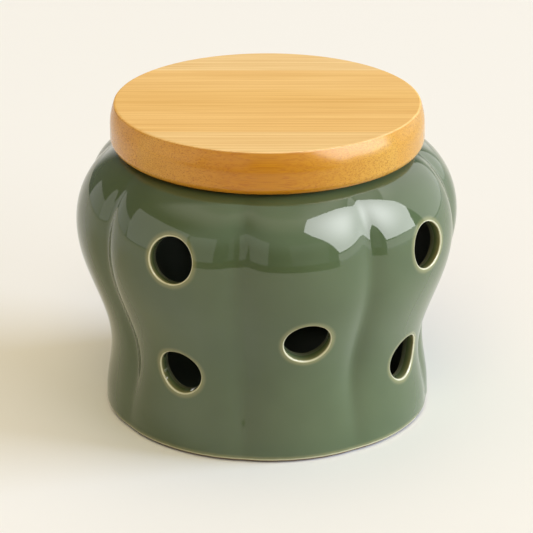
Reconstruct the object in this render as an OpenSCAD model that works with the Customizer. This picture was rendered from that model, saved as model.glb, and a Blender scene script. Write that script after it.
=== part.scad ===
// Vented ceramic keeper with a lobed slip-cast jar and a laminated bamboo lid.
// Millimetres, +Z up. The origin is the centre of the foot, on the table. The front lobe faces -Y.

/* [Jar] */
// Height of the jar, from the table to the rim that the lid rests on
jar_h = 95; // [86:0.5:130]
// Diameter across the lobes at the foot
foot_d = 114.4; // [104:0.2:124]
// Diameter across the lobes at the waist
waist_d = 110.8; // [102:0.2:122]
// Diameter across the lobes at the shoulder
shoulder_d = 133.2; // [124:0.2:146]
// Height of the waist, where the jar is narrowest
waist_z = 23.5; // [18:0.5:30]
// Height of the shoulder, where the jar is widest
shoulder_z = 69; // [62:0.5:76]
// Height of the upright band above the foot
foot_band = 4.5; // [2.5:0.5:10]
// Radius of the foot's outer edge
foot_round = 2.2; // [0.5:0.1:2.5]
// Thickness of the ceramic wall
wall = 4.4; // [3:0.1:6]
// Thickness of the floor above the foot recess
floor_t = 4.6; // [3:0.1:8]
// Radius of the corner between the floor and the wall inside
floor_round = 6; // [3:0.5:10]
// Width of the foot ring that the jar stands on
foot_ring_w = 5; // [4:0.2:9]
// Depth of the recess inside the foot ring
foot_recess = 2; // [1:0.1:4]

/* [Lobes] */
// Number of lobe pairs around the jar, each a narrow and a wide lobe
lobe_pairs = 4; // [4:2:6]
// Share of a pair that its narrow lobe takes
narrow_share = 0.45; // [0.42:0.01:0.5]
// Depth of the valleys between the lobes at their deepest
valley_depth = 3.2; // [0.5:0.1:4]
// Depth of the valleys at the foot
foot_valley_depth = 0.5; // [0:0.1:2]
// Height at which the valleys reach their full depth
valley_full_z = 40; // [36:1:60]
// Half width of a valley's round bottom, in degrees
valley_bottom = 1.8; // [1:0.1:4]
// How far a valley's shoulders reach into the lobes, in degrees
valley_shoulder = 5; // [3:0.1:7]

/* [Vents] */
// Diameter of each vent
vent_d = 15.8; // [10:0.2:20]
// Height of the vent in a narrow lobe that has one
middle_vent_z = 45; // [40:0.5:50]
// Height of the upper vent in a wide lobe
upper_vent_z = 73.2; // [66:0.1:78]
// Height of the lower vent in a wide lobe
lower_vent_z = 28.5; // [24:0.1:36]
// How far off the crest of its lobe an upper vent sits, towards the lobe with one vent, in degrees
upper_vent_shift = 3.2; // [0:0.1:5]
// How far off the crest of its lobe a lower vent sits, towards the lobe with one vent, in degrees
lower_vent_shift = 0.3; // [0:0.1:5]
// Turn of all the vents against the lobes, in degrees
vent_turn = 0.8; // [-2:0.1:2]
// How much lower the hand-punched vents sit at the right of the jar than at its front
vent_tilt = 1.7; // [0:0.1:3]

/* [Mouth] */
// Diameter of the mouth
mouth_d = 82; // [70:0.5:88]
// Width of the flat rim that the lid rests on
rim_w = 4; // [3:0.2:6]
// Radius of the rim's inner edge
lip_round = 1.2; // [0.4:0.1:1.6]

/* [Lid] */
// Diameter of the lid's board
lid_d = 107.8; // [104:0.2:124]
// Thickness of the lid's board
lid_t = 15; // [12:0.5:24]
// Height of the board's widest line above its underside
lid_wide_z = 7; // [5.5:0.5:9]
// How far the board's side bows in from its widest line to the top
lid_bow = 1.5; // [0.5:0.1:3]
// Radius of the board's upper edge
lid_top_round = 0.8; // [0.4:0.1:1.2]
// Radius of the board's lower edge
lid_bottom_round = 3.2; // [0.5:0.1:5]
// Number of bamboo strips glued edge to edge in the board
strips = 5; // [5]
// Turn of the lid on the jar, in degrees
lid_turn = -12; // [-90:1:90]

/* [Plug and seal] */
// Height of the plug under the board
plug_h = 9; // [7.5:0.5:14]
// Radial gap between the plug and the mouth
plug_gap = 1.5; // [0.8:0.1:2]
// Radius of the plug's lower edge
plug_round = 1.4; // [0.4:0.1:1.8]
// Depth of the ring groove in the plug
groove_depth = 2.2; // [1.6:0.1:4]
// Height of the seal ring
ring_h = 3.4; // [3:0.1:3.8]
// Thickness of the seal ring's band
ring_band = 1.2; // [0.8:0.1:1.5]
// Radius of the rounded tips of the ring's two lips
ring_tip = 0.45; // [0.3:0.05:0.6]
// Radial gap between the ring's lips and the mouth
ring_gap = 0.25; // [0.2:0.05:0.5]
// Clearance of the ring in its groove
ring_clear = 0.05; // [0.03:0.01:0.2]

/* [Hidden] */

$fn = 96;
facets_per_lobe = 12;
lobes = 2 * lobe_pairs;
pair_angle = 360 / lobe_pairs;
around = lobes * facets_per_lobe;
side_steps = 14;
dome_steps = 8;
round_steps = 3;
over = 1;
slope_step = 0.01;

foot_r = foot_d / 2;
waist_r = waist_d / 2;
shoulder_r = shoulder_d / 2;
mouth_r = mouth_d / 2;
rim_r = mouth_r + rim_w;
dome_h = jar_h - shoulder_z;
floor_z = foot_recess + floor_t;
foot_ring_r = foot_r - foot_round - foot_ring_w;

lid_r = lid_d / 2;
lid_bow_h = lid_t - lid_wide_z;
// The bow is an arc that starts upright at the widest line. The upper edge is a smaller arc that meets it.
lid_bow_r = (pow(lid_bow_h, 2) + pow(lid_bow, 2)) / (2 * lid_bow);
lid_edge_h = lid_bow_h - lid_top_round;
lid_edge_r = lid_r - lid_bow_r + sqrt(pow(lid_bow_r - lid_top_round, 2) - pow(lid_edge_h, 2));
lid_arc_h = lid_edge_h * lid_bow_r / (lid_bow_r - lid_top_round);
strip_w = lid_d / strips;

plug_r = mouth_r - plug_gap;
plug_z = jar_h - plug_h;
groove_r = plug_r - groove_depth;
groove_h = ring_h + 2 * ring_clear;
// The ring is centred on the straight wall of the mouth, between the dome's underside and the lip.
groove_z = jar_h - (wall + lip_round) / 2 - groove_h / 2;
ring_in_r = groove_r + ring_clear;
ring_out_r = mouth_r - ring_gap;

glaze = "#6e8871";
bamboo_tones = ["#dfae66", "#e6b873", "#dba85f", "#e8bc79", "#e0b06a"];
plug_tone = "#d8a55e";
silicone = "#e9e6dc";

// A smooth step from a to b as t goes from 0 to 1.
function blend(a, b, t) = a + (b - a) * (1 - cos(180 * t)) / 2;

// How much of its width the dome has left at height z, from 1 at the shoulder to 0 at the rim.
function dome_share(z) = sqrt(max(0, 1 - pow((z - shoulder_z) / dome_h, 2)));

// Radius of the jar at the crest of a lobe, by height.
function crest_r(z) =
    z < foot_band ? foot_r
    : z < waist_z ? blend(foot_r, waist_r, (z - foot_band) / (waist_z - foot_band))
    : z < shoulder_z ? blend(waist_r, shoulder_r, (z - waist_z) / (shoulder_z - waist_z))
    : rim_r + (shoulder_r - rim_r) * dome_share(z);

// How fast that radius grows with height.
function crest_slope(z) = (crest_r(z + slope_step) - crest_r(z - slope_step)) / (2 * slope_step);

// Depth of the valleys by height: they run out at the foot and fade out at the rim.
function depth(z) =
    z < valley_full_z
        ? foot_valley_depth + (valley_depth - foot_valley_depth) * sin(90 * z / valley_full_z)
    : z < shoulder_z ? valley_depth
    : valley_depth * dome_share(z);

// Half the angle that lobe k takes: the even ones are narrow and the odd ones wide.
function lobe_half(k) = pair_angle / 2 * (k % 2 == 0 ? narrow_share : 1 - narrow_share);

// Degrees to the nearest valley, by the angle from the front.
function valley_gap(angle) =
    let (turn = (angle + 360.5 * pair_angle) % pair_angle - pair_angle / 2)
    abs(abs(turn) - lobe_half(0));

// 0 on the crest of a lobe and 1 at the bottom of a valley.
function valley(angle) = exp((valley_bottom - norm([valley_gap(angle), valley_bottom])) / valley_shoulder);

// Radius of the inside wall at a crest, one wall thickness in from the outside, square to it.
function inside_r(z) = crest_r(z) - wall * sqrt(1 + pow(crest_slope(z), 2));

// Each section point is [crest radius, height, valley depth].
function outside_section() = [
    for (i = [0 : round_steps - 1])
        let (a = 90 * i / round_steps)
        [foot_r - foot_round * (1 - sin(a)), foot_round * (1 - cos(a)), foot_valley_depth],
    for (i = [0 : side_steps])
        let (z = foot_round + (shoulder_z - foot_round) * i / side_steps)
        [crest_r(z), z, depth(z)],
    for (i = [1 : dome_steps])
        let (u = 90 * i / dome_steps)
        [rim_r + (shoulder_r - rim_r) * cos(u), shoulder_z + dome_h * sin(u), valley_depth * cos(u)]
];

function inside_section() =
    let (corner_z = floor_z + floor_round, corner_r = inside_r(corner_z))
    [
        for (i = [0 : round_steps - 1])
            let (a = 90 * i / round_steps)
            [corner_r - floor_round * (1 - sin(a)), corner_z - floor_round * cos(a), depth(corner_z)],
        for (i = [0 : side_steps - 1])
            let (z = corner_z + (shoulder_z - corner_z) * i / side_steps)
            [inside_r(z), z, depth(z)],
        for (i = [0 : dome_steps])
            let (u = 90 * i / dome_steps)
            [rim_r + (shoulder_r - wall - rim_r) * cos(u),
             shoulder_z + (dome_h - wall) * sin(u),
             valley_depth * cos(u)]
    ];

// Angle of point i of a ring. The points crowd towards the valleys, where the form turns fastest.
function ring_angle(i) =
    let (k = floor(i / facets_per_lobe),
         t = 2 * (i % facets_per_lobe) / facets_per_lobe - 1,
         share = 1 - pow(1 - abs(t), 1.5))
    k * pair_angle / 2 + sign(t) * share * lobe_half(k);

// One closed lobed ring of points at a section point.
function ring(p) = [
    for (i = [0 : around - 1])
        let (angle = ring_angle(i), r = p[0] - p[2] * valley(angle))
        [r * sin(angle), -r * cos(angle), p[1]]
];

// A lobed solid lofted through the rings of a section, closed flat at both ends.
module lobed_loft(section) {
    last = len(section) - 1;
    points = [for (p = section) each ring(p)];
    sides = [
        for (j = [0 : last - 1], i = [0 : around - 1])
            let (a = j * around + i, b = j * around + (i + 1) % around)
            each [[a, a + around, b + around], [a, b + around, b]]
    ];
    bottom = [for (i = [0 : around - 1]) i];
    top = [for (i = [around - 1 : -1 : 0]) last * around + i];
    polyhedron(points, concat([bottom], sides, [top]), convexity = 8);
}

// One vent, square to the wall, by its angle from the front before the vents' own turn.
module vent(angle, z) {
    height = z - vent_tilt * sin(angle);
    rotate([0, 0, angle + vent_turn])
        translate([0, -crest_r(height), height])
            rotate([90 + atan(crest_slope(height)), 0, 0])
                cylinder(h = 4 * wall, d = vent_d, center = true);
}

// Round the jar the lobes have one vent, two, none and two in turn, from the front lobe on.
// The plain lobes at the sides are where a hand holds the jar.
module vents() {
    for (k = [0 : lobes - 1]) {
        crest = k * pair_angle / 2;
        lean = k % 4 == 1 ? -1 : 1;
        if (k % 4 == 0) {
            vent(crest, middle_vent_z);
        } else if (k % 2 == 1) {
            vent(crest + lean * upper_vent_shift, upper_vent_z);
            vent(crest + lean * lower_vent_shift, lower_vent_z);
        }
    }
}

// The mouth, with the rim's inner edge rounded.
module mouth() {
    translate([0, 0, jar_h - 2 * wall])
        cylinder(h = 2 * wall + over, r = mouth_r);
    rotate_extrude()
        difference() {
            translate([mouth_r - over, jar_h - lip_round])
                square([lip_round + over, lip_round + over]);
            translate([mouth_r + lip_round, jar_h - lip_round])
                circle(lip_round);
        }
}

// The jar: one slip-cast shell, lobed inside and out, with its vents, mouth and foot recess.
module jar_body() {
    color(glaze)
        difference() {
            lobed_loft(outside_section());
            lobed_loft(inside_section());
            mouth();
            vents();
            translate([0, 0, -over])
                cylinder(h = foot_recess + over, r = foot_ring_r);
        }
}

// Half section of the lid's board: a round lower edge, an upright band and a side that bows in to the top.
module board_section() {
    translate([lid_r - lid_bottom_round, lid_bottom_round]) circle(lid_bottom_round);
    square([lid_r - lid_bottom_round, lid_wide_z]);
    translate([0, lid_bottom_round]) square([lid_r, lid_wide_z - lid_bottom_round]);
    translate([0, lid_wide_z]) {
        intersection() {
            translate([lid_r - lid_bow_r, 0]) circle(lid_bow_r);
            square([lid_r, lid_arc_h]);
        }
        square([lid_edge_r, lid_bow_h]);
        translate([lid_edge_r, lid_edge_h]) circle(lid_top_round);
    }
}

// One strip of the lid's board, counted from the front. The grain runs along it.
module lid_strip(number) {
    color(bamboo_tones[number - 1])
        intersection() {
            translate([0, 0, jar_h])
                rotate_extrude() board_section();
            rotate([0, 0, lid_turn])
                translate([-lid_r - over, -lid_r + (number - 1) * strip_w, jar_h - over])
                    cube([lid_d + 2 * over, strip_w, lid_t + 2 * over]);
        }
}

// The plug glued under the board, which keeps the lid in the mouth.
module lid_plug() {
    color(plug_tone)
        difference() {
            translate([0, 0, plug_z]) cylinder(h = plug_h, r = plug_r);
            translate([0, 0, groove_z])
                rotate_extrude()
                    translate([groove_r, 0]) square([groove_depth + over, groove_h]);
            translate([0, 0, plug_z])
                rotate_extrude()
                    difference() {
                        translate([plug_r - plug_round, -over])
                            square([plug_round + over, plug_round + over]);
                        translate([plug_r - plug_round, plug_round]) circle(plug_round);
                    }
        }
}

// The seal ring in the plug's groove: a band with two rounded lips towards the mouth.
module seal_ring() {
    lip_reach = ring_out_r - ring_in_r - ring_tip;
    color(silicone)
        translate([0, 0, groove_z + ring_clear])
            rotate_extrude()
                translate([ring_in_r, 0]) {
                    square([ring_band, ring_h]);
                    for (lip_z = [ring_tip, ring_h - ring_tip]) {
                        translate([0, lip_z - ring_tip]) square([lip_reach, 2 * ring_tip]);
                        translate([lip_reach, lip_z]) circle(ring_tip);
                    }
                }
}

jar_body();
lid_strip(1);  // lid_strip_1
lid_strip(2);  // lid_strip_2
lid_strip(3);  // lid_strip_3
lid_strip(4);  // lid_strip_4
lid_strip(5);  // lid_strip_5
lid_plug();
seal_ring();
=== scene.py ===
# %% [markdown]
# # Dressing a vented keeper jar
# The object is a lobed ceramic jar with round air holes and a loose bamboo lid. The solid model gives its exact
# shape and says which piece moves with which body. This lesson adds what a solid model lacks: the soft edges and
# the glaze of the ceramic, the fibres of the bamboo, and the light of a small studio.

# %% Load the solid model as the frame
import math

import bpy
import numpy as np
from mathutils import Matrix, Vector


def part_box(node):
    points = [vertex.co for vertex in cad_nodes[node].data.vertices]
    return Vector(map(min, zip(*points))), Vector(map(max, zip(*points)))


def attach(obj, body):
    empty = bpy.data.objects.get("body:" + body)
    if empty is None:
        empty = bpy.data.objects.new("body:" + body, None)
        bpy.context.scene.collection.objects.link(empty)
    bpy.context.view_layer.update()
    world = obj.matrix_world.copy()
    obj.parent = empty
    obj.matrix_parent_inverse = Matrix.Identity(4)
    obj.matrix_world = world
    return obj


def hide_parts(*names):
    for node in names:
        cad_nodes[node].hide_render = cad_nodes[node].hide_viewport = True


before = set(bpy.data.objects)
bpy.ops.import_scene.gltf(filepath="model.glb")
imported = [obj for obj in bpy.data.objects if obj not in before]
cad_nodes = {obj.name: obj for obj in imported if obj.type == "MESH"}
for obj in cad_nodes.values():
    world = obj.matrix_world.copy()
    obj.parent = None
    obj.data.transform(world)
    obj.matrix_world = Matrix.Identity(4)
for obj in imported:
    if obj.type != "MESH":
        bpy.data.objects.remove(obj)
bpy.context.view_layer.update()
MM = 0.001
print("solid pieces:", ", ".join(sorted(cad_nodes)))

# %% [markdown]
# ## The camera
# The photo looks down on the jar by about 22 degrees through a long lens. A camera is easiest to aim by its
# distance, its turn round the object and its height in degrees, and a long lens keeps the lid's ellipse as flat as
# it is in the photo.

# %% Set up the camera
PHOTO_PIXELS = 533
SENSOR_MM = 36.0
FOCAL_PIXELS = 2602.5
CAMERA_TURN = -12.0
CAMERA_HEIGHT = 22.503
CAMERA_DISTANCE = 0.9124
SHIFT_PIXELS = -0.9
AIM = Vector((0.0, 0.0, 48.45 * MM))


def direction(turn, height):
    """A unit vector by the turn from the front, positive to the right, and the height above the table, in degrees."""
    t, h = math.radians(turn), math.radians(height)
    return Vector((math.sin(t) * math.cos(h), -math.cos(t) * math.cos(h), math.sin(h)))


def look_at(obj, target):
    """Turns a camera or a lamp so that it points at the target."""
    obj.rotation_euler = (target - obj.location).to_track_quat("-Z", "Y").to_euler()


camera_data = bpy.data.cameras.new("photo_camera")
camera_data.sensor_width = SENSOR_MM
camera_data.lens = FOCAL_PIXELS * SENSOR_MM / PHOTO_PIXELS
camera_data.shift_x = SHIFT_PIXELS / PHOTO_PIXELS
camera = bpy.data.objects.new("photo_camera", camera_data)
bpy.context.scene.collection.objects.link(camera)
camera.location = AIM + CAMERA_DISTANCE * direction(CAMERA_TURN, CAMERA_HEIGHT)
look_at(camera, AIM)
bpy.context.scene.camera = camera
bpy.context.scene.view_settings.view_transform = "Standard"
print("lens %.1f mm" % camera_data.lens)

# %% [markdown]
# ## The shape of the ceramic
# The jar is slip-cast: its wall is the same thickness all over, and every edge is rounded by the glaze. The solid
# model has the form but sharp hole edges. Bevelling a boolean's edges on a curved wall leaves creases that a glossy
# glaze shows at once, so the jar is made again from the same formulas as one grid of points, in which each air hole
# has its own rings. All the points then lie exactly on the form.

# %% The jar's own sizes, in metres
LOBE_PAIRS, NARROW_SHARE = 4, 0.45
FOOT_R, WAIST_R, SHOULDER_R = 57.2 * MM, 55.4 * MM, 66.6 * MM
FOOT_BAND, WAIST_Z, SHOULDER_Z, JAR_H = 4.5 * MM, 23.5 * MM, 69 * MM, 95 * MM
FOOT_ROUND, FOOT_RECESS, FOOT_RING_W = 2.2 * MM, 2 * MM, 5 * MM
WALL, FLOOR_Z, FLOOR_ROUND = 4.4 * MM, 6.6 * MM, 6 * MM
MOUTH_R, RIM_R, LIP_ROUND = 41 * MM, 45 * MM, 1.2 * MM
VALLEY_DEPTH, FOOT_VALLEY_DEPTH, VALLEY_FULL_Z = 3.2 * MM, 0.5 * MM, 40 * MM
VALLEY_BOTTOM, VALLEY_SHOULDER = math.radians(1.8), math.radians(5)
DOME_H = JAR_H - SHOULDER_Z
jar_low, jar_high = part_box("jar_body")
print("height by the frame %.2f mm, by the formulas %.2f mm" % (jar_high[2] / MM, JAR_H / MM))


# %% Formulas of the form
def ease(a, b, t):
    """A smooth step from a to b as t goes from 0 to 1."""
    return a + (b - a) * (1 - np.cos(np.pi * np.clip(t, 0, 1))) / 2


def dome_share(z):
    """How much of its width the dome has left: 1 at the shoulder, 0 at the rim."""
    return np.sqrt(np.clip(1 - (np.maximum(z - SHOULDER_Z, 0) / DOME_H) ** 2, 0, 1))


def crest_radius(z):
    """Radius of the jar along the crest of a lobe."""
    z = np.asarray(z, float)
    low = ease(FOOT_R, WAIST_R, (z - FOOT_BAND) / (WAIST_Z - FOOT_BAND))
    high = ease(WAIST_R, SHOULDER_R, (z - WAIST_Z) / (SHOULDER_Z - WAIST_Z))
    dome = RIM_R + (SHOULDER_R - RIM_R) * dome_share(z)
    return np.where(z < WAIST_Z, low, np.where(z < SHOULDER_Z, high, dome))


def crest_slope(z, step=0.01 * MM):
    """How fast the crest's radius grows with height."""
    return (crest_radius(z + step) - crest_radius(z - step)) / (2 * step)


def valley_depth(z):
    """Depth of the valleys between the lobes, which run out at the foot and fade out at the rim."""
    z = np.asarray(z, float)
    low = FOOT_VALLEY_DEPTH + (VALLEY_DEPTH - FOOT_VALLEY_DEPTH) * np.sin(np.pi / 2 * np.clip(z / VALLEY_FULL_Z, 0, 1))
    return np.where(z < VALLEY_FULL_Z, low, VALLEY_DEPTH * dome_share(z))


def valley(angle):
    """0 on the crest of a lobe and 1 at the bottom of a valley."""
    pair = 2 * np.pi / LOBE_PAIRS
    turn = np.mod(angle + pair / 2, pair) - pair / 2
    gap = np.abs(np.abs(turn) - NARROW_SHARE * pair / 2)
    return np.exp(-(np.hypot(gap, VALLEY_BOTTOM) - VALLEY_BOTTOM) / VALLEY_SHOULDER)


print("widest %.1f mm, narrowest %.1f mm" % (2 * crest_radius(SHOULDER_Z) / MM, 2 * crest_radius(WAIST_Z) / MM))

# %% [markdown]
# ## One line round the whole section
# A turned form can be drawn as one line: from the middle of the underside, over the foot, up the outside, over the
# rim, and down the inside to the middle of the floor. Each point of the line becomes a ring of the grid. The inside
# points are the outside points moved in by the wall's thickness, so a hole finds the same rows on both faces.

# %% Under the foot: crest radius, height, valley depth
RECESS_R = FOOT_R - FOOT_ROUND - FOOT_RING_W
RECESS_ROUND, RING_ROUND = 0.8 * MM, 0.6 * MM
UNDERSIDE_RADII = (10, 20, 30, 40, 46)
FOOT_RING_POINTS = ((52.2, 0.3), (53.8, 0.75))


def arc(r, z, radius, start, end, steps):
    """Points of an arc of the section round (r, z), its angles in degrees from outward to upward, both ends in."""
    a = np.radians(np.linspace(start, end, steps + 1))
    return np.column_stack([r + radius * np.cos(a), z + radius * np.sin(a)])


def with_depth(points, depth):
    """Adds the valley depth as a third column."""
    points = np.asarray(points, float)
    return np.column_stack([points, np.broadcast_to(depth, len(points))])


underside = with_depth([(r * MM, FOOT_RECESS) for r in UNDERSIDE_RADII], 0)
recess_edge = np.vstack([
    arc(RECESS_R - RECESS_ROUND, FOOT_RECESS - RECESS_ROUND, RECESS_ROUND, 90, 0, 4),
    arc(RECESS_R + RING_ROUND, RING_ROUND, RING_ROUND, 180, 270, 4)])
foot_ring = np.array([(r * MM, 0, share * FOOT_VALLEY_DEPTH) for r, share in FOOT_RING_POINTS])
foot_edge = arc(FOOT_R - FOOT_ROUND, FOOT_ROUND, FOOT_ROUND, 270, 360, 6)
below = np.vstack([underside, with_depth(recess_edge, 0), foot_ring, with_depth(foot_edge, FOOT_VALLEY_DEPTH)])
print("%d rings under the foot and round its edge" % len(below))

# %% Up the outside and down the inside
SIDE_STEPS, DOME_STEPS = 54, 30
side_z = np.linspace(FOOT_ROUND, SHOULDER_Z, SIDE_STEPS + 1)[1:]
dome_u = np.radians(np.linspace(0, 90, DOME_STEPS + 1)[1:])
side = np.column_stack([crest_radius(side_z), side_z, valley_depth(side_z)])
dome = np.column_stack([RIM_R + (SHOULDER_R - RIM_R) * np.cos(dome_u), SHOULDER_Z + DOME_H * np.sin(dome_u),
                        VALLEY_DEPTH * np.cos(dome_u)])
outside = np.vstack([side, dome])

slope = crest_slope(side_z)
normals = np.vstack([np.column_stack([np.ones_like(slope), -slope]),
                     np.column_stack([np.cos(dome_u) / (SHOULDER_R - RIM_R), np.sin(dome_u) / DOME_H])])
normals /= np.linalg.norm(normals, axis=1)[:, None]
inside = outside.copy()
inside[:, :2] -= WALL * normals
inside = inside[inside[:, 1] > FLOOR_Z + FLOOR_ROUND]
print("%d rings outside, %d inside" % (len(outside), len(inside)))

# %% Over the rim and down to the floor
SEAT_RADII, MOUTH_ROUND, MOUTH_BACK_R = (44 * MM, 43.1 * MM), 0.8 * MM, 43.4 * MM
FLOOR_RADII, FLOOR_EDGE = (40, 30, 20, 10), 46
seat = [(r, JAR_H) for r in SEAT_RADII]
lip = arc(MOUTH_R + LIP_ROUND, JAR_H - LIP_ROUND, LIP_ROUND, 90, 180, 5)
mouth_edge = arc(MOUTH_R + MOUTH_ROUND, JAR_H - WALL + MOUTH_ROUND, MOUTH_ROUND, 180, 270, 4)
rim = with_depth(np.vstack([seat, lip, [(MOUTH_R, JAR_H - WALL / 2)], mouth_edge,
                            [(MOUTH_BACK_R, JAR_H - WALL)]]), 0)
corner_r = inside[0, 0]
corner = with_depth(arc(corner_r - FLOOR_ROUND, FLOOR_Z + FLOOR_ROUND, FLOOR_ROUND, 0, -90, 8), inside[0, 2])
floor_rows = np.array([(r * MM, FLOOR_Z, inside[0, 2] * (r / FLOOR_EDGE) ** 4) for r in FLOOR_RADII])

section = np.vstack([below, outside, rim, inside[::-1], corner, floor_rows])
first_outside = len(below)
last_inside = len(below) + len(outside) + len(rim) + len(inside) - 1
rows_without_inside = len(outside) - len(inside)
print("%d rings in all" % len(section))


def inside_row(outside_row):
    """The grid row inside the wall that lies behind a row outside it."""
    return last_inside - (outside_row - first_outside - rows_without_inside)


# %% The grid of points
COLUMNS = 288
column_angle = 2 * np.pi * np.arange(COLUMNS) / COLUMNS
grid_r = section[:, :1] - section[:, 2:] * valley(column_angle)[None, :]
grid = np.stack([grid_r * np.sin(column_angle), -grid_r * np.cos(column_angle),
                 np.broadcast_to(section[:, 1:2], grid_r.shape)], axis=2)
print("grid of %d by %d points" % grid.shape[:2])

# %% [markdown]
# ## The air holes
# The holes were punched square to the wall while the clay was soft, and the glaze rounds their edges. Each hole
# takes a block of cells out of the grid, outside and inside. Rings of points then lead from the block's border to
# the hole, over a rounded edge, through the wall and out to the inside block, like a grommet. From the front on,
# the lobes have one hole, two, none where a hand holds the jar, and two, twice round.

# %% Where the holes are
VENT_R = 7.9 * MM
VENT_EDGE, VENT_INNER_EDGE = 0.7 * MM, 0.5 * MM
VENT_BLOCK = VENT_R + VENT_EDGE + 2.4 * MM
MIDDLE_Z, UPPER_Z, LOWER_Z = 45 * MM, 73.2 * MM, 28.5 * MM
UPPER_SHIFT, LOWER_SHIFT, VENT_TURN = 3.2, 0.3, 0.8
VENT_TILT = 1.7 * MM

vent_places = []
for lobe in range(2 * LOBE_PAIRS):
    crest = lobe * 180 / LOBE_PAIRS
    lean = -1 if lobe % 4 == 1 else 1
    spots = []
    if lobe % 4 == 0:
        spots = [(crest, MIDDLE_Z)]
    elif lobe % 2 == 1:
        spots = [(crest + lean * UPPER_SHIFT, UPPER_Z), (crest + lean * LOWER_SHIFT, LOWER_Z)]
    for turn, z in spots:
        vent_places.append((turn + VENT_TURN, z - VENT_TILT * math.sin(math.radians(turn))))
print("%d air holes" % len(vent_places))


# %% Points of the wall seen along a hole's axis
def outer_radius(angle, z):
    """Radius of the wall's outer face."""
    return crest_radius(z) - valley_depth(z) * valley(angle)


def inner_radius(angle, z):
    """Radius of the wall's inner face."""
    r = np.interp(z, inside[:, 1], inside[:, 0])
    return r - np.interp(z, inside[:, 1], inside[:, 2]) * valley(angle)


def vent_axes(turn, z):
    """Centre of a hole on the wall, and its directions round the jar, up the wall and outward."""
    a, s = math.radians(turn), float(crest_slope(z))
    out = np.array([math.sin(a), -math.cos(a), 0.0])
    across = np.array([math.cos(a), math.sin(a), 0.0])
    normal = (out - s * np.array([0, 0, 1.0])) / math.sqrt(1 + s * s)
    return float(crest_radius(z)) * out + np.array([0, 0, z]), across, np.cross(normal, across), normal


def on_wall(axes, reach, spin, radius_of):
    """Points of one face of the wall at a reach from the hole's axis and a spin round it, by a few Newton steps."""
    centre, across, up, normal = axes
    flat = centre + reach[..., None] * (np.cos(spin)[..., None] * across + np.sin(spin)[..., None] * up)

    def miss(h):
        p = flat + h[..., None] * normal
        return np.hypot(p[..., 0], p[..., 1]) - radius_of(np.arctan2(p[..., 0], -p[..., 1]), p[..., 2])

    h, step = np.zeros(flat.shape[:-1]), 0.01 * MM
    for _ in range(10):
        now = miss(h)
        h = h - np.clip(now * step / (miss(h + step) - now), -4 * MM, 4 * MM)
    return flat + h[..., None] * normal


sample = on_wall(vent_axes(0, MIDDLE_Z), np.array([VENT_R]), np.array([0.0]), outer_radius)
print("a point on the front hole's edge, in mm:", np.round(sample[0] / MM, 2))

# %% The block of cells round a hole
grid_points = grid.reshape(-1, 3)
arc_length = np.concatenate([[0], np.cumsum(np.hypot(*np.diff(outside[:, :2], axis=0).T))])


def block_of(turn, z):
    """First and last row, and the columns, of the cells that a hole takes out of the grid."""
    middle = np.interp(z, outside[:, 1], arc_length)
    row_a = first_outside + int(np.searchsorted(arc_length, middle - VENT_BLOCK)) - 1
    row_b = first_outside + int(np.searchsorted(arc_length, middle + VENT_BLOCK))
    half_turn = math.degrees(VENT_BLOCK / float(crest_radius(z)))
    step = 360 / COLUMNS
    return row_a, row_b, list(range(math.floor((turn - half_turn) / step), math.ceil((turn + half_turn) / step) + 1))


def block_border(row_a, row_b, columns):
    """Grid indices round a block of cells: along row_a, up the last column, back along row_b, down the first."""
    step = 1 if row_b > row_a else -1
    up = list(range(row_a, row_b, step))
    down = list(range(row_b, row_a, -step))
    spots = [(row_a, c) for c in columns[:-1]] + [(r, columns[-1]) for r in up]
    spots += [(row_b, c) for c in columns[:0:-1]] + [(r, columns[0]) for r in down]
    return np.array([r * COLUMNS + c % COLUMNS for r, c in spots])


def polar(axes, indices):
    """Reach from a hole's axis and spin round it of some points of the grid."""
    offset = grid_points[indices] - axes[0]
    u, v = offset @ axes[1], offset @ axes[2]
    return np.hypot(u, v), np.unwrap(np.arctan2(v, u))


print("points round the front hole's block:", len(block_border(*block_of(*vent_places[0]))))

# %% Rings over a hole's edge and through the wall
WALL_RINGS, EDGE_RINGS, BORE_RINGS, INNER_RINGS = 3, 7, 3, 4


def shares(count):
    """Even shares between 0 and 1, both ends left out."""
    return [k / (count + 1) for k in range(1, count + 1)]


def edge_rings(axes, spin, face, edge, angles, side):
    """Rings of a rounded edge on one face of the wall; side is the way into the wall along the axis."""
    rings = []
    for a in np.radians(angles):
        wall_point = on_wall(axes, np.full_like(spin, VENT_R + edge * (1 - math.sin(a))), spin, face)
        rings.append(wall_point + side * edge * (1 - math.cos(a)) * axes[3])
    return rings


def hole_rings(axes, reach, spin, inner_reach, inner_spin):
    """Rings of points from the outer block's border to the inner one's."""
    edge_r, inner_r = VENT_R + VENT_EDGE, VENT_R + VENT_INNER_EDGE
    outer = [on_wall(axes, reach + (edge_r - reach) * s, spin, outer_radius) for s in shares(WALL_RINGS)]
    outer += edge_rings(axes, spin, outer_radius, VENT_EDGE, np.linspace(0, 90, EDGE_RINGS), -1)
    inner = edge_rings(axes, inner_spin, inner_radius, VENT_INNER_EDGE, np.linspace(90, 0, INNER_RINGS), 1)
    bore = [outer[-1] + (inner[0] - outer[-1]) * s for s in shares(BORE_RINGS)]
    inner += [on_wall(axes, inner_r + (inner_reach - inner_r) * s, inner_spin, inner_radius)
              for s in shares(WALL_RINGS)]
    return outer + bore + inner


print("rings in a hole:", 2 * WALL_RINGS + EDGE_RINGS + BORE_RINGS + INNER_RINGS)

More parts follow.
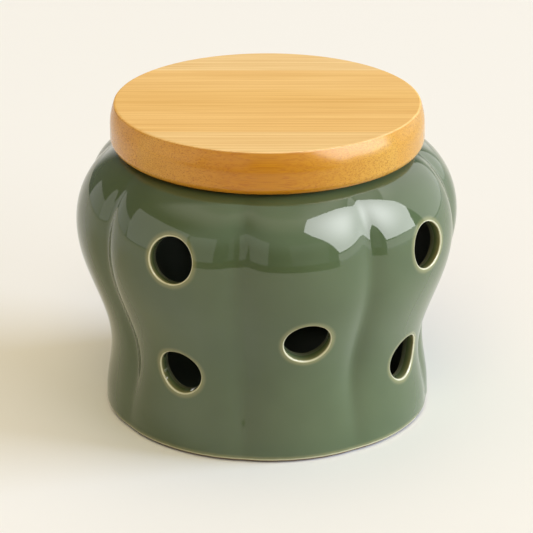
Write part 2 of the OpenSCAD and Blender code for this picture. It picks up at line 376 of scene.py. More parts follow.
# %% Cut every hole
row_count = len(section)
points = [grid_points]
point_total = row_count * COLUMNS
keep_cell = np.ones((row_count - 1, COLUMNS), bool)
ring_faces = []
for turn, z in vent_places:
    axes = vent_axes(turn, z)
    row_a, row_b, columns = block_of(turn, z)
    in_a, in_b = inside_row(row_a), inside_row(row_b)
    taken = np.array(columns[:-1]) % COLUMNS
    keep_cell[row_a:row_b, taken] = False
    keep_cell[in_b:in_a, taken] = False
    border, inner_border = block_border(row_a, row_b, columns), block_border(in_a, in_b, columns)
    reach, spin = polar(axes, border)
    inner_reach, inner_spin = polar(axes, inner_border)
    inner_spin += 2 * np.pi * np.round((spin - inner_spin).mean() / (2 * np.pi))
    loops = [border]
    for ring in hole_rings(axes, reach, spin, inner_reach, inner_spin):
        points.append(ring)
        loops.append(point_total + np.arange(len(ring)))
        point_total += len(ring)
    loops.append(inner_border)
    for one, two in zip(loops, loops[1:]):
        ring_faces.append(np.column_stack([one, np.roll(one, -1), np.roll(two, -1), two]))
print("%d ring faces" % sum(len(f) for f in ring_faces))

# %% [markdown]
# ## One closed mesh
# The cells that are left, the rings of the holes and a fan of triangles at each end make one closed skin. Three
# numbers are kept on every point, because the glaze will need them: how far the point is from the edge of the
# nearest hole, how deep it lies in a valley, and whether it is inside the jar.

# %% Put the jar together
cell_rows, cell_columns = np.nonzero(keep_cell)
next_column = (cell_columns + 1) % COLUMNS
quads = np.column_stack([cell_rows * COLUMNS + cell_columns, cell_rows * COLUMNS + next_column,
                         (cell_rows + 1) * COLUMNS + next_column, (cell_rows + 1) * COLUMNS + cell_columns])
quads = np.vstack([quads] + ring_faces)
points.append(np.array([[0, 0, FOOT_RECESS], [0, 0, FLOOR_Z]]))
all_points = np.vstack(points)
low_middle, floor_middle = point_total, point_total + 1
ring_now = np.arange(COLUMNS)
ring_next = (ring_now + 1) % COLUMNS
last_ring = (row_count - 1) * COLUMNS
fans = [(low_middle, b, a) for a, b in zip(ring_now, ring_next)]
fans += [(floor_middle, last_ring + a, last_ring + b) for a, b in zip(ring_now, ring_next)]

used = np.unique(np.concatenate([quads.ravel(), np.array(fans).ravel()]))
renumber = np.full(len(all_points), -1)
renumber[used] = np.arange(len(used))
jar_points = all_points[used]
faces = [tuple(int(i) for i in f) for f in renumber[quads]]
faces += [tuple(int(renumber[i]) for i in f) for f in fans]

jar_mesh = bpy.data.meshes.new("glazed_jar")
jar_mesh.from_pydata(jar_points.tolist(), [], faces)
jar_mesh.polygons.foreach_set("use_smooth", [True] * len(jar_mesh.polygons))
jar = bpy.data.objects.new("glazed_jar", jar_mesh)
bpy.context.scene.collection.objects.link(jar)
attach(jar, "jar")
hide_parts("jar_body")
print("%d points, %d faces, valid: %s" % (len(jar_points), len(faces), not jar_mesh.validate()))

# %% Distance from every point to the nearest hole
FAR, EDGE_TOP, INNER_EXTRA = 12 * MM, 0.3, 0.1 * MM


def edge_line(axes, spin, face, edge, side):
    """The line along the top of a hole's rounded edge, where glaze runs thinnest."""
    line = on_wall(axes, np.full(len(spin), VENT_R + EDGE_TOP * edge), spin, face)
    return line + side * EDGE_TOP * edge * axes[3]


edge_distance = np.full(len(jar_points), FAR)
for turn, z in vent_places:
    axes = vent_axes(turn, z)
    offset = jar_points - axes[0]
    u, v, h = offset @ axes[1], offset @ axes[2], offset @ axes[3]
    near = (np.hypot(u, v) < VENT_R + FAR) & (np.abs(h) < FAR)
    spin = np.arctan2(v, u)[near]
    outer_line = edge_line(axes, spin, outer_radius, VENT_EDGE, -1)
    inner_line = edge_line(axes, spin, inner_radius, VENT_INNER_EDGE, 1)
    distance = np.linalg.norm(jar_points[near] - outer_line, axis=1)
    distance = np.minimum(distance, np.linalg.norm(jar_points[near] - inner_line, axis=1) + INNER_EXTRA)
    edge_distance[near] = np.minimum(edge_distance[near], distance)
print("points within 1 mm of a hole's edge:", int((edge_distance < MM).sum()))

# %% Valleys and the inside, and all three numbers on the mesh
SUNK, BELOW_RIM = 0.7 * WALL, 0.9 * WALL
point_z = jar_points[:, 2]
point_angle = np.arctan2(jar_points[:, 0], -jar_points[:, 1])
point_valley = valley(point_angle) * valley_depth(point_z) / VALLEY_DEPTH
point_sunk = outer_radius(point_angle, point_z) - np.hypot(jar_points[:, 0], jar_points[:, 1])
point_inside = (point_sunk > SUNK) & (point_z > FLOOR_Z - MM) & (point_z < JAR_H - BELOW_RIM)
for name, values in (("hole_edge", edge_distance / MM), ("valley", point_valley), ("inside", point_inside)):
    jar_mesh.attributes.new(name, "FLOAT", "POINT").data.foreach_set("value", values.astype(np.float32))
print("points inside:", int(point_inside.sum()))

# %% [markdown]
# ## Small helpers for materials
# A glaze or a wood takes dozens of nodes. Made one by one, each would need three or four lines. Here nodes are added
# by type and joined by name, so that each material reads as a list of what it does.


# %% Helpers for node trees
def new_material(name):
    """A material with an empty tree but for its Principled shader and output."""
    material = bpy.data.materials.new(name)
    material.use_nodes = True
    material.node_tree.nodes.clear()
    shader = material.node_tree.nodes.new("ShaderNodeBsdfPrincipled")
    output = material.node_tree.nodes.new("ShaderNodeOutputMaterial")
    material.node_tree.links.new(shader.outputs["BSDF"], output.inputs["Surface"])
    return material, shader


def add(tree, kind, **inputs):
    """Adds a node and sets or links its inputs by name, or by number as _0, _1."""
    node = tree.nodes.new("ShaderNode" + kind)
    for key, value in inputs.items():
        socket = node.inputs[int(key[1:])] if key[0] == "_" else node.inputs[key.replace("_", " ")]
        if isinstance(value, bpy.types.NodeSocket):
            tree.links.new(value, socket)
        else:
            socket.default_value = value
    return node


def calc(tree, operation, a, b=0.0):
    """One sum: add, multiply and so on."""
    node = add(tree, "Math", _0=a, _1=b)
    node.operation = operation
    return node.outputs[0]


def span(tree, value, low, high, to_low=0.0, to_high=1.0):
    """A smooth step: to_low where the value is low, to_high where it is high."""
    node = add(tree, "MapRange", Value=value, From_Min=low, From_Max=high, To_Min=to_low, To_Max=to_high)
    node.interpolation_type = "SMOOTHSTEP"
    return node.outputs[0]


def mix(tree, share, a, b, blend="MIX"):
    """Mixes two colours by a share."""
    node = tree.nodes.new("ShaderNodeMix")
    node.data_type = "RGBA"
    node.blend_type = blend
    for socket, value in ((node.inputs[0], share), (node.inputs[6], a), (node.inputs[7], b)):
        if isinstance(value, bpy.types.NodeSocket):
            tree.links.new(value, socket)
        else:
            socket.default_value = value
    return node.outputs[2]


def attribute(tree, name):
    """A number kept on the mesh's points."""
    node = tree.nodes.new("ShaderNodeAttribute")
    node.attribute_name = name
    return node.outputs["Fac"]


def soft_noise(tree, place, scale, detail=2.0):
    """Noise from 0 to 1 over a place, by its waves per metre."""
    return add(tree, "TexNoise", Vector=place, Scale=scale, Detail=detail).outputs["Fac"]


def srgb(red, green, blue):
    """A screen colour, 0 to 255, as the linear colour that a shader takes."""
    def linear(c):
        c /= 255
        return c / 12.92 if c <= 0.04045 else ((c + 0.055) / 1.055) ** 2.4
    return (linear(red), linear(green), linear(blue), 1.0)


print("helpers ready")

# %% [markdown]
# ## Celadon glaze
# Celadon is a green, glassy glaze over pale clay. It is never one flat colour: it clouds a little, and where it
# pools, in the valleys, it is deeper. Where it runs thin, on the edges of the holes, the clay shows through as a
# cream line with an olive halo. A painted picture would have to be fitted to every hole. The distance to the holes
# is on the mesh already, so the break of the glaze follows the real edges from every side.

# %% Colour of the glaze
GLAZE_GREEN, GLAZE_DEEP = srgb(79, 91, 59), srgb(73, 85, 54)
CLOUD_SCALE, CLOUD_SPAN, POOLED = 40.0, (0.3, 0.7), 0.3
glaze, glaze_shader = new_material("celadon_glaze")
jar_mesh.materials.append(glaze)
tree = glaze.node_tree
place = tree.nodes.new("ShaderNodeTexCoord").outputs["Object"]
colour = mix(tree, span(tree, soft_noise(tree, place, CLOUD_SCALE), *CLOUD_SPAN), GLAZE_DEEP, GLAZE_GREEN)
colour = mix(tree, calc(tree, "MULTIPLY", attribute(tree, "valley"), POOLED), colour, GLAZE_DEEP)
print("nodes for the green:", len(tree.nodes))

# %% Thin glaze at the holes
GLAZE_OLIVE, GLAZE_CREAM = srgb(150, 143, 96), srgb(226, 218, 180)
RUN_SCALE, RUN_MM = 260.0, 0.3
HALO_MM, HALO_SHARE = (2.2, 0.2), 0.6
CREAM_MM, CREAM_SHARE = (0.46, 0.12), 0.72
uneven = calc(tree, "SUBTRACT", soft_noise(tree, place, RUN_SCALE), 0.5)
edge = calc(tree, "ADD", attribute(tree, "hole_edge"), calc(tree, "MULTIPLY", uneven, RUN_MM))
colour = mix(tree, span(tree, edge, *HALO_MM, 0.0, HALO_SHARE), colour, GLAZE_OLIVE)
colour = mix(tree, span(tree, edge, *CREAM_MM, 0.0, CREAM_SHARE), colour, GLAZE_CREAM)
print("halo %.1f mm, cream line %.1f mm" % (HALO_MM[0], CREAM_MM[0]))

# %% [markdown]
# ## The wiped foot and the inside
# The foot is wiped bare before firing, or the jar would stick to the kiln. So the glaze ends in a pale line there,
# over bare clay that the kiln has burnt brown. Its brown is made darker still, as painted shade for the contact
# shadow under the foot. A second material would end in a hard line along the faces. Height above the table, made
# uneven by the same noise as at the holes, gives the wiped edge. Inside, the glaze is dull, and its green is darkened
# as painted shade for the dim inside of the jar, by the number kept on the points.

# %% Foot and inside
# Bare clay colours: kiln-burnt brown, made darker as painted shade for the contact shadow under the foot.
BURNT_CLAY_AND_SHADE, DARK_CLAY_AND_SHADE, INSIDE_PAINTED_SHADE = srgb(104, 70, 34), srgb(78, 52, 25), srgb(46, 50, 38)
WIPE_HALO, WIPE_CREAM, WIPE_BARE = (3.0 * MM, 1.6 * MM), (1.8 * MM, 1.5 * MM), (1.15 * MM, 0.95 * MM)
WIPE_RUN, WIPE_HALO_SHARE, WIPE_CREAM_SHARE = 0.4 * MM, 0.5, 0.45
SPECK_SCALE, INSIDE_SHADE_SHARE = 900.0, 0.7
height = add(tree, "SeparateXYZ", Vector=place).outputs["Z"]
wipe = calc(tree, "ADD", height, calc(tree, "MULTIPLY", uneven, WIPE_RUN))
bare = span(tree, wipe, *WIPE_BARE)
speck = soft_noise(tree, place, SPECK_SCALE)
colour = mix(tree, span(tree, wipe, *WIPE_HALO, 0.0, WIPE_HALO_SHARE), colour, GLAZE_OLIVE)
colour = mix(tree, span(tree, wipe, *WIPE_CREAM, 0.0, WIPE_CREAM_SHARE), colour, GLAZE_CREAM)
# The bare clay's dark brown is partly its own colour and partly painted shade for the contact shadow under the foot.
colour = mix(tree, bare, colour, mix(tree, speck, DARK_CLAY_AND_SHADE, BURNT_CLAY_AND_SHADE))
# Inside the jar the green is darkened: painted shade for the dim inside, on top of a duller gloss.
inside_share = attribute(tree, "inside")
colour = mix(tree, calc(tree, "MULTIPLY", inside_share, INSIDE_SHADE_SHARE), colour, INSIDE_PAINTED_SHADE)
tree.links.new(colour, glaze_shader.inputs["Base Color"])
print("glaze starts %.2f mm above the table" % (WIPE_BARE[0] / MM))

# %% [markdown]
# ## Gloss
# Fired glaze is glass, so it is very smooth and mirrors more than plastic does. It also lies in low waves, which make
# reflections swim a little, as they do on hand-finished ware. The waves are far too shallow to show in the outline,
# so a bump is enough for them. Bare clay is matt and gritty.

# %% Gloss and waves
GLAZE_IOR, GLOSSY, MATT, INSIDE_MATT = 1.6, 0.045, 0.75, 0.6
WAVE_SCALE, WAVE_STRENGTH, WAVE_HEIGHT, GRIT = 30.0, 0.08, 0.4 * MM, 0.4
matt = calc(tree, "MAXIMUM", bare, calc(tree, "MULTIPLY", inside_share, INSIDE_MATT))
tree.links.new(span(tree, matt, 0.0, 1.0, GLOSSY, MATT), glaze_shader.inputs["Roughness"])
waves = soft_noise(tree, place, WAVE_SCALE, 1.0)
waves = calc(tree, "ADD", waves, calc(tree, "MULTIPLY", speck, calc(tree, "MULTIPLY", bare, GRIT)))
bump = add(tree, "Bump", Height=waves, Strength=WAVE_STRENGTH, Distance=WAVE_HEIGHT)
tree.links.new(bump.outputs["Normal"], glaze_shader.inputs["Normal"])
glaze_shader.inputs["IOR"].default_value = GLAZE_IOR
print("glaze nodes:", len(tree.nodes))

# %% [markdown]
# ## Bamboo
# Bamboo has no growth rings. It is a bundle of dark fibres in pale tissue, all running the same way. Drawing streaks
# on the top and dots on the ends as two pictures would never meet at the edges. Here one solid pattern, drawn out
# along the grain, is cut by every face: long faces show streaks and end faces show dots, as on the real board. The
# pattern is a node group, because five strips and the plug use it with their own tones.

# %% The fibre pattern as a node group
FIBRE_LAYERS = (("Fibres", 3000.0, 0.006, 0.52, 0.66), ("Tissue", 1150.0, 0.009, 0.40, 0.64),
                ("Band", 90.0, 0.03, 0.3, 0.7))
SEED_ALONG, SEED_ACROSS = 0.37, 0.113
fibre = bpy.data.node_groups.new("bamboo_fibre", "ShaderNodeTree")
for name, way in (("Turn", "INPUT"), ("Seed", "INPUT"), ("Fibres", "OUTPUT"), ("Tissue", "OUTPUT"), ("Band", "OUTPUT")):
    fibre.interface.new_socket(name=name, in_out=way, socket_type="NodeSocketFloat")
fibre_in = fibre.nodes.new("NodeGroupInput")
fibre_out = fibre.nodes.new("NodeGroupOutput")
fibre_place = fibre.nodes.new("ShaderNodeTexCoord").outputs["Object"]
along = add(fibre, "VectorRotate", Vector=fibre_place, Angle=fibre_in.outputs["Turn"])
along.rotation_type = "Z_AXIS"
offset = add(fibre, "CombineXYZ", X=calc(fibre, "MULTIPLY", fibre_in.outputs["Seed"], SEED_ALONG),
             Y=calc(fibre, "MULTIPLY", fibre_in.outputs["Seed"], SEED_ACROSS), Z=0.0)
moved = add(fibre, "VectorMath", _0=along.outputs[0], _1=offset.outputs[0])
for name, scale, stretch, low, high in FIBRE_LAYERS:
    squeezed = add(fibre, "VectorMath", _0=moved.outputs[0], _1=(stretch, 1.0, 1.0))
    squeezed.operation = "MULTIPLY"
    noise = soft_noise(fibre, squeezed.outputs[0], scale)
    fibre.links.new(span(fibre, noise, low, high), fibre_out.inputs[name])
print("fibre group sockets:", [s.name for s in fibre.interface.items_tree])

# %% [markdown]
# ## Top, side and ends of the board
# The top is sanded and left matt. The side is oiled, so it is deeper in colour and has a sheen. The end grain stays
# paler there, with the cut fibres as dark dots. A material for each face would end in a hard line, but these faces
# meet in a round edge. So the way a face looks says how much of it is side and how much is end. The oil is a coat of
# its own, and the normal of the upper side leans up a little, where sanding has rounded it.

# %% How much of a face is side, and how much is end
LID_TURN = math.radians(-12.0)
GRAIN = (math.cos(LID_TURN), math.sin(LID_TURN), 0.0)
LOOKS_UP, LOOKS_ALONG = (0.9, 0.45), (0.1, 0.9)
BOW_START, BOW_END, BOW_TILT = 102 * MM, 108 * MM, 0.17


def side_and_end(tree):
    """Two shares from the way a face looks: side against top, and end grain against long grain."""
    facing = tree.nodes.new("ShaderNodeTexCoord").outputs["Normal"]
    side = span(tree, add(tree, "SeparateXYZ", Vector=facing).outputs["Z"], *LOOKS_UP)
    along_grain = add(tree, "VectorMath", _0=facing, _1=GRAIN)
    along_grain.operation = "DOT_PRODUCT"
    return side, span(tree, calc(tree, "ABSOLUTE", along_grain.outputs["Value"]), *LOOKS_ALONG)


def rounded_side(tree, side):
    """The normal, leaning up towards the top of the lid's side."""
    height = add(tree, "SeparateXYZ", Vector=tree.nodes.new("ShaderNodeTexCoord").outputs["Object"]).outputs["Z"]
    tilt = calc(tree, "MULTIPLY", span(tree, height, BOW_START, BOW_END, 0.0, BOW_TILT), side)
    lift = add(tree, "CombineXYZ", X=0.0, Y=0.0, Z=tilt).outputs[0]
    leaning = add(tree, "VectorMath", _0=tree.nodes.new("ShaderNodeNewGeometry").outputs["Normal"], _1=lift)
    unit = add(tree, "VectorMath", _0=leaning.outputs[0])
    unit.operation = "NORMALIZE"
    return unit.outputs[0]


print("the side leans up by as much as %.0f degrees more" % math.degrees(math.atan(BOW_TILT)))

# %% Colours of the bamboo
STRIP_TONES = {"lid_strip_1": (241, 206, 146), "lid_strip_2": (240, 199, 131), "lid_strip_3": (239, 198, 128),
               "lid_strip_4": (241, 202, 136), "lid_strip_5": (241, 209, 153), "lid_plug": (230, 192, 130)}
DARKER = (0.87, 0.77, 0.60)
OILED, OILED_END, END_FIBRE = srgb(196, 152, 36), srgb(207, 182, 100), srgb(120, 70, 16)
TISSUE_TOP, TISSUE_SIDE, FIBRE_SHARE, BAND_SHARE, END_SHARE = 0.36, 0.32, 0.55, 0.18, 0.6


def bamboo_colour(tree, group, tone, side, end):
    """Streaks in a strip's tone, deeper on the oiled side, with dark dots on the ends."""
    pale, dark = srgb(*tone), srgb(*(c * d for c, d in zip(tone, DARKER)))
    tissue_share = span(tree, side, 0.0, 1.0, TISSUE_TOP, TISSUE_SIDE)
    colour = pale
    for layer, share in (("Tissue", tissue_share), ("Fibres", FIBRE_SHARE), ("Band", BAND_SHARE)):
        colour = mix(tree, calc(tree, "MULTIPLY", group.outputs[layer], share), colour, dark)
    oil = mix(tree, end, OILED, OILED_END)
    colour = mix(tree, side, colour, mix(tree, 1.0, colour, oil, "MULTIPLY"))
    dots = calc(tree, "MULTIPLY", calc(tree, "MULTIPLY", side, end), group.outputs["Fibres"])
    return mix(tree, calc(tree, "MULTIPLY", dots, END_SHARE), colour, END_FIBRE)


print("tones for", ", ".join(STRIP_TONES))

# %% A material for each strip and the plug
SANDED, FIBRE_ROUGH, OIL_ROUGH = 0.36, 0.5, 0.2
GRAIN_STRENGTH, GRAIN_HEIGHT = 0.1, 0.1 * MM
for seed, (name, tone) in enumerate(STRIP_TONES.items(), 1):
    wood, wood_shader = new_material("bamboo_" + name)
    tree = wood.node_tree
    group = tree.nodes.new("ShaderNodeGroup")
    group.node_tree = fibre
    group.inputs["Turn"].default_value = -LID_TURN
    group.inputs["Seed"].default_value = float(seed)
    side, end = side_and_end(tree)
    tree.links.new(bamboo_colour(tree, group, tone, side, end), wood_shader.inputs["Base Color"])
    satin = span(tree, group.outputs["Fibres"], 0.0, 1.0, SANDED, FIBRE_ROUGH)
    tree.links.new(satin, wood_shader.inputs["Roughness"])
    wood_shader.inputs["Specular IOR Level"].default_value = 0.0
    tree.links.new(side, wood_shader.inputs["Coat Weight"])
    wood_shader.inputs["Coat Roughness"].default_value = OIL_ROUGH
    leaning = rounded_side(tree, side)
    tree.links.new(leaning, wood_shader.inputs["Coat Normal"])
    grain = add(tree, "Bump", Height=group.outputs["Fibres"], Strength=GRAIN_STRENGTH, Distance=GRAIN_HEIGHT,
                Normal=leaning)
    grain.invert = True
    tree.links.new(grain.outputs["Normal"], wood_shader.inputs["Normal"])
    mesh = cad_nodes[name].data
    mesh.materials.clear()
    mesh.materials.append(wood)
print("bamboo nodes in each:", len(tree.nodes))

# %% [markdown]
# ## The silicone ring
# The ring round the plug is hidden while the lid is on. Milky silicone lets a little light in and is never quite
# glossy. A clear shader would show the groove behind it, so it gets a soft glow under its surface and a faint
# cloudiness instead.

# %% The ring's material
MILKY, MILKY_PALE = srgb(226, 223, 212), srgb(238, 236, 228)
HAZE_SCALE, HAZE_SPAN, HAZE_ROUGH = 220.0, (0.3, 0.7), (0.35, 0.5)
MILK_WEIGHT, MILK_DEPTH = 0.3, (2 * MM, 2 * MM, 1.6 * MM)
silicone, silicone_shader = new_material("milky_silicone")
tree = silicone.node_tree
place = tree.nodes.new("ShaderNodeTexCoord").outputs["Object"]
haze = soft_noise(tree, place, HAZE_SCALE)
tree.links.new(mix(tree, haze, MILKY, MILKY_PALE), silicone_shader.inputs["Base Color"])
tree.links.new(span(tree, haze, *HAZE_SPAN, *HAZE_ROUGH), silicone_shader.inputs["Roughness"])
silicone_shader.inputs["Subsurface Weight"].default_value = MILK_WEIGHT
silicone_shader.inputs["Subsurface Radius"].default_value = MILK_DEPTH
ring_mesh = cad_nodes["seal_ring"].data
ring_mesh.materials.clear()
ring_mesh.materials.append(silicone)
print("ring nodes:", len(tree.nodes))

# %% [markdown]
# ## The table
# The photo is taken on seamless cream paper. Such paper curves up at the back, but from above only its flat part
# shows, so one large plane is enough. It is quite matt, because a sheen would glare when the jar is seen against the
# window.

# %% A cream table
TABLE_SIZE, CREAM_PAPER = 8.0, srgb(243, 241, 237)
half = TABLE_SIZE / 2
table_mesh = bpy.data.meshes.new("table")
table_mesh.from_pydata([(-half, -half, 0), (half, -half, 0), (half, half, 0), (-half, half, 0)], [], [(0, 1, 2, 3)])
table = bpy.data.objects.new("table", table_mesh)
bpy.context.scene.collection.objects.link(table)
paper, paper_shader = new_material("cream_table")
paper_shader.inputs["Base Color"].default_value = CREAM_PAPER
paper_shader.inputs["Roughness"].default_value = 0.9
paper_shader.inputs["Specular IOR Level"].default_value = 0.0
table_mesh.materials.append(paper)
print("table %.0f m wide" % TABLE_SIZE)

# %% [markdown]
# ## The line round the shoulder
# The lower part of the jar mirrors the pale table and the shoulder mirrors the dim room, with a clear line between
# them where the table ends. A table cut short in front would change the light. A photographer would hold a flag
# there, a strip of dark cloth. This one shows in the glaze only: the camera doesn't see it, and it casts no shadow.

# %% A dark flag in front of the jar
FLAG_R, FLAG_LOW, FLAG_HIGH, FLAG_STEPS = 0.46, 0.0226, 0.08, 21
FLAG_TURNS, FLAG_GREY = (-58, 47), srgb(112, 107, 97)
flag_turns = np.radians(CAMERA_TURN + np.linspace(*FLAG_TURNS, FLAG_STEPS + 1))
flag_points = [(FLAG_R * math.sin(a), -FLAG_R * math.cos(a), z) for a in flag_turns for z in (FLAG_LOW, FLAG_HIGH)]
flag_mesh = bpy.data.meshes.new("dark_flag")
flag_mesh.from_pydata(flag_points, [], [(2 * i, 2 * i + 2, 2 * i + 3, 2 * i + 1) for i in range(FLAG_STEPS)])
flag = bpy.data.objects.new("dark_flag", flag_mesh)
bpy.context.scene.collection.objects.link(flag)
flag_cloth, flag_shader = new_material("flag_cloth")
flag_shader.inputs["Base Color"].default_value = FLAG_GREY
flag_shader.inputs["Roughness"].default_value = 0.9
flag_mesh.materials.append(flag_cloth)
flag.visible_camera = flag.visible_diffuse = flag.visible_shadow = False
print("flag from %.0f to %.0f mm above the table" % (FLAG_LOW / MM, FLAG_HIGH / MM))

# %% [markdown]
# ## The room
# A glossy jar shows the whole room. The room could be built from walls and lamps, but a few colours mixed by
# direction do the same: dim walls, a paler one behind the camera, a bright backdrop behind the jar and soft light
# from overhead. Seen in the glaze, the ceiling is less warm than the light it gives, dim at the back and brightest on
# the window's side.

# %% Directions in the room
world = bpy.data.worlds.new("room")
bpy.context.scene.world = world
world.use_nodes = True
tree = world.node_tree
tree.nodes.clear()
way = tree.nodes.new("ShaderNodeTexCoord").outputs["Generated"]
up = add(tree, "SeparateXYZ", Vector=way).outputs["Z"]


def towards(tree, way, turn):
    """How much a direction points to a turn from the camera: 1 straight there, -1 straight away."""
    node = add(tree, "VectorMath", _0=way, _1=direction(CAMERA_TURN + turn, 0.0))
    node.operation = "DOT_PRODUCT"
    return node.outputs["Value"]


OVERHEAD_UP = (0.62, 0.92)
WALL_NEAR, WALL_UP = (0.3, 0.7), (0.2, 0.55)
BACKDROP_FAR, BACKDROP_LOW = (-0.86, -0.97), (0.5, 0.38)
to_camera, to_right = towards(tree, way, 0.0), towards(tree, way, 90.0)
overhead = span(tree, up, *OVERHEAD_UP)
camera_side = calc(tree, "MULTIPLY", span(tree, to_camera, *WALL_NEAR), span(tree, up, *WALL_UP))
behind = calc(tree, "MULTIPLY", span(tree, to_camera, *BACKDROP_FAR), span(tree, up, *BACKDROP_LOW))
print("nodes for directions:", len(tree.nodes))

# %% Colours of the room
ROOM, ROOM_FRONT = (0.18, 0.20, 0.19, 1.0), (0.56, 0.70, 0.60, 1.0)
OVERHEAD, BACKDROP = (1.24, 1.03, 0.75, 1.0), (1.6, 1.55, 1.45, 1.0)
CEILING, ZENITH = (1.25, 1.3, 1.08, 1.0), (0.92, 1.03, 0.83, 1.0)
CEILING_BACK, CEILING_RIGHT = (0.38, 0.42, 0.36, 1.0), (1.6, 1.62, 1.45, 1.0)
ZENITH_UP, BACK_FAR, RIGHT_ASIDE = (0.89, 0.965), (-0.02, -0.22), (0.1, 0.4)
ceiling = mix(tree, span(tree, up, *ZENITH_UP), CEILING, ZENITH)
ceiling = mix(tree, span(tree, to_camera, *BACK_FAR), ceiling, CEILING_BACK)
ceiling = mix(tree, span(tree, to_right, *RIGHT_ASIDE), ceiling, CEILING_RIGHT)
mirrored = tree.nodes.new("ShaderNodeLightPath").outputs["Is Glossy Ray"]
room = mix(tree, camera_side, ROOM, ROOM_FRONT)
room = mix(tree, overhead, room, mix(tree, mirrored, OVERHEAD, ceiling))
room = mix(tree, behind, room, BACKDROP)
background = add(tree, "Background", Color=room, Strength=1.0)
world_output = tree.nodes.new("ShaderNodeOutputWorld")
tree.links.new(background.outputs[0], world_output.inputs["Surface"])
print("room nodes:", len(tree.nodes))

# %% [markdown]
# ## Lamps
# A large cool lamp low on the right throws the soft shadow to the left. A weaker one beside it and a warm one high in
# front fill that shadow. They stand far off, so that the table is lit evenly whichever way it is seen. One more warm
# lamp lights only the lid's pieces, like a small card held near them. One lamp could both light and show, but then
# neither could be set alone. So these show nowhere, and what the glaze mirrors is made below, one by one.


# %% Lamps that light
def soft_lamp(name, turn, height, distance, size, brightness, colour, lights=True, shows=True):
    """A soft box by its place seen from the jar: degrees right of the camera, degrees up, metres away."""
    lamp_data = bpy.data.lights.new(name, "AREA")
    lamp_data.shape = "RECTANGLE"
    lamp_data.size, lamp_data.size_y = size
    lamp_data.energy = brightness * math.pi * size[0] * size[1]
    lamp_data.color = colour
    lamp = bpy.data.objects.new(name, lamp_data)
    bpy.context.scene.collection.objects.link(lamp)
    lamp.location = AIM + distance * direction(CAMERA_TURN + turn, height)
    look_at(lamp, AIM)
    lamp.visible_camera = False
    lamp.visible_diffuse = lights
    lamp.visible_glossy = shows
    return lamp


FAR_OFF = 12.8
LAMPS = (("side_light", 88, 12, (7.2, 5.2), 26.0, (0.58, 0.72, 1.0)),
         ("front_light", 50, 12, (6.4, 4.8), 4.5, (0.77, 0.81, 1.0)),
         ("front_fill", -6, 48, (7.2, 5.2), 2.7, (1.0, 0.8, 0.43)),
         ("lid_fill", -68, 3, (7.2, 5.2), 5.6, (1.0, 0.78, 0.4)))
lamps = {}
for name, turn, up_turn, size, brightness, colour in LAMPS:
    lamps[name] = soft_lamp(name, turn, up_turn, FAR_OFF, size, brightness, colour, shows=False)
lid_only = bpy.data.collections.new("lid_only")
for name in STRIP_TONES:
    lid_only.objects.link(cad_nodes[name])
lamps["lid_fill"].light_linking.receiver_collection = lid_only
print("lamps:", ", ".join(lamps))

# %% [markdown]
# ## Cards in the glaze
# The pale patches on the shoulder are walls and boards of the studio. They could be planes with a glow, but area
# lamps that give no light are quicker to place by their direction. Each is as bright as the patch that it makes.

# %% Cards that only show
CARD_WHITE = (1.0, 0.98, 0.95)
CARDS = (("sill_card", 74, 4, 3.3, (3.0, 0.5), 1.5), ("left_front_card", -29, 16, 3.2, (1.7, 1.7), 0.55),
         ("right_front_card", 25, 15, 3.2, (1.7, 1.5), 0.22), ("back_card", 128, 26, 3.2, (2.9, 3.1), 1.3),
         ("wall_card", -74, 17, 3.2, (2.85, 1.96), 0.85), ("low_wall_card", -116, 8, 3.2, (2.0, 0.9), 0.6))
for name, turn, up_turn, distance, size, brightness in CARDS:
    soft_lamp(name, turn, up_turn, distance, size, brightness, CARD_WHITE, lights=False)
print("cards:", ", ".join(card[0] for card in CARDS))

# %% [markdown]
# ## The window
# The white patch on the right shoulder is a window. Cards that overlap would add up there, and the window has no
# straight sides in the glaze. So it is one flat shape, drawn by the directions of its corners from the jar, with a
# glow that is strongest in the middle.

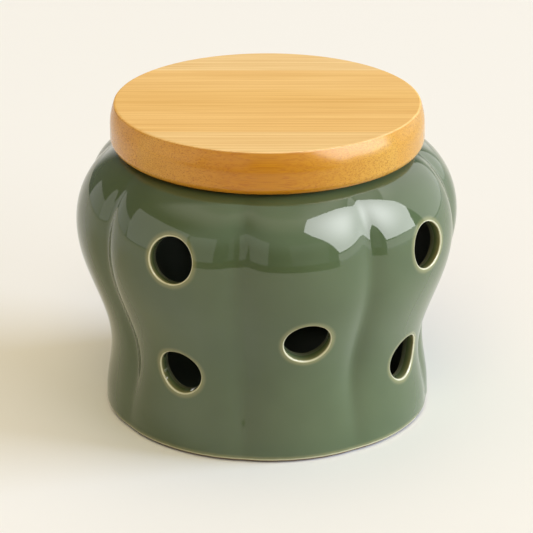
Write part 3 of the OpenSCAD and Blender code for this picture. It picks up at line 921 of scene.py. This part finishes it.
# %% The window's shape
WINDOW_TURN, WINDOW_HEIGHT, WINDOW_DISTANCE = 67.0, 36.0, 3.1
WINDOW_OUTLINE = [(51, 9), (42, 25), (33, 36), (25, 45), (30, 53), (41, 62), (70, 63), (88, 59), (98, 51), (103, 40),
                  (101, 28), (96, 18), (95, 8)]
to_window = direction(CAMERA_TURN + WINDOW_TURN, WINDOW_HEIGHT)
window_card = bpy.data.objects.new("window_card", bpy.data.meshes.new("window_card"))
bpy.context.scene.collection.objects.link(window_card)
window_card.location = AIM + WINDOW_DISTANCE * to_window
look_at(window_card, AIM)
to_card = window_card.rotation_euler.to_matrix().transposed()
corners = []
for turn, up_turn in WINDOW_OUTLINE:
    ray = direction(CAMERA_TURN + turn, up_turn)
    corners.append(to_card @ (ray * WINDOW_DISTANCE / ray.dot(to_window) - to_window * WINDOW_DISTANCE))
window_card.data.from_pydata([tuple(c) for c in corners], [], [tuple(range(len(corners)))])
window_card.visible_camera = window_card.visible_diffuse = window_card.visible_shadow = False
print("window of %d corners" % len(corners))

# %% The window's glow
GLOW_MIDDLE, GLOW_EDGE, GLOW_COLOUR = 11.0, 6.2, (0.97, 0.99, 1.0, 1.0)
GLOW_SIZE, GLOW_FADE, GLOW_RAISED = 1.5, 1.15, 0.2
glow = bpy.data.materials.new("window_glow")
glow.use_nodes = True
tree = glow.node_tree
tree.nodes.clear()
spot = add(tree, "SeparateXYZ", Vector=tree.nodes.new("ShaderNodeTexCoord").outputs["Object"])
raised = calc(tree, "SUBTRACT", spot.outputs["Y"], GLOW_RAISED)
from_middle = add(tree, "CombineXYZ", X=calc(tree, "DIVIDE", spot.outputs["X"], GLOW_SIZE),
                  Y=calc(tree, "DIVIDE", raised, GLOW_SIZE), Z=0.0)
reach = add(tree, "VectorMath", _0=from_middle.outputs[0])
reach.operation = "LENGTH"
strength = span(tree, reach.outputs["Value"], GLOW_FADE, 0.0, GLOW_EDGE, GLOW_MIDDLE)
emission = add(tree, "Emission", Color=GLOW_COLOUR, Strength=strength)
glow_output = tree.nodes.new("ShaderNodeOutputMaterial")
tree.links.new(emission.outputs[0], glow_output.inputs["Surface"])
window_card.data.materials.append(glow)
print("glow nodes:", len(tree.nodes))
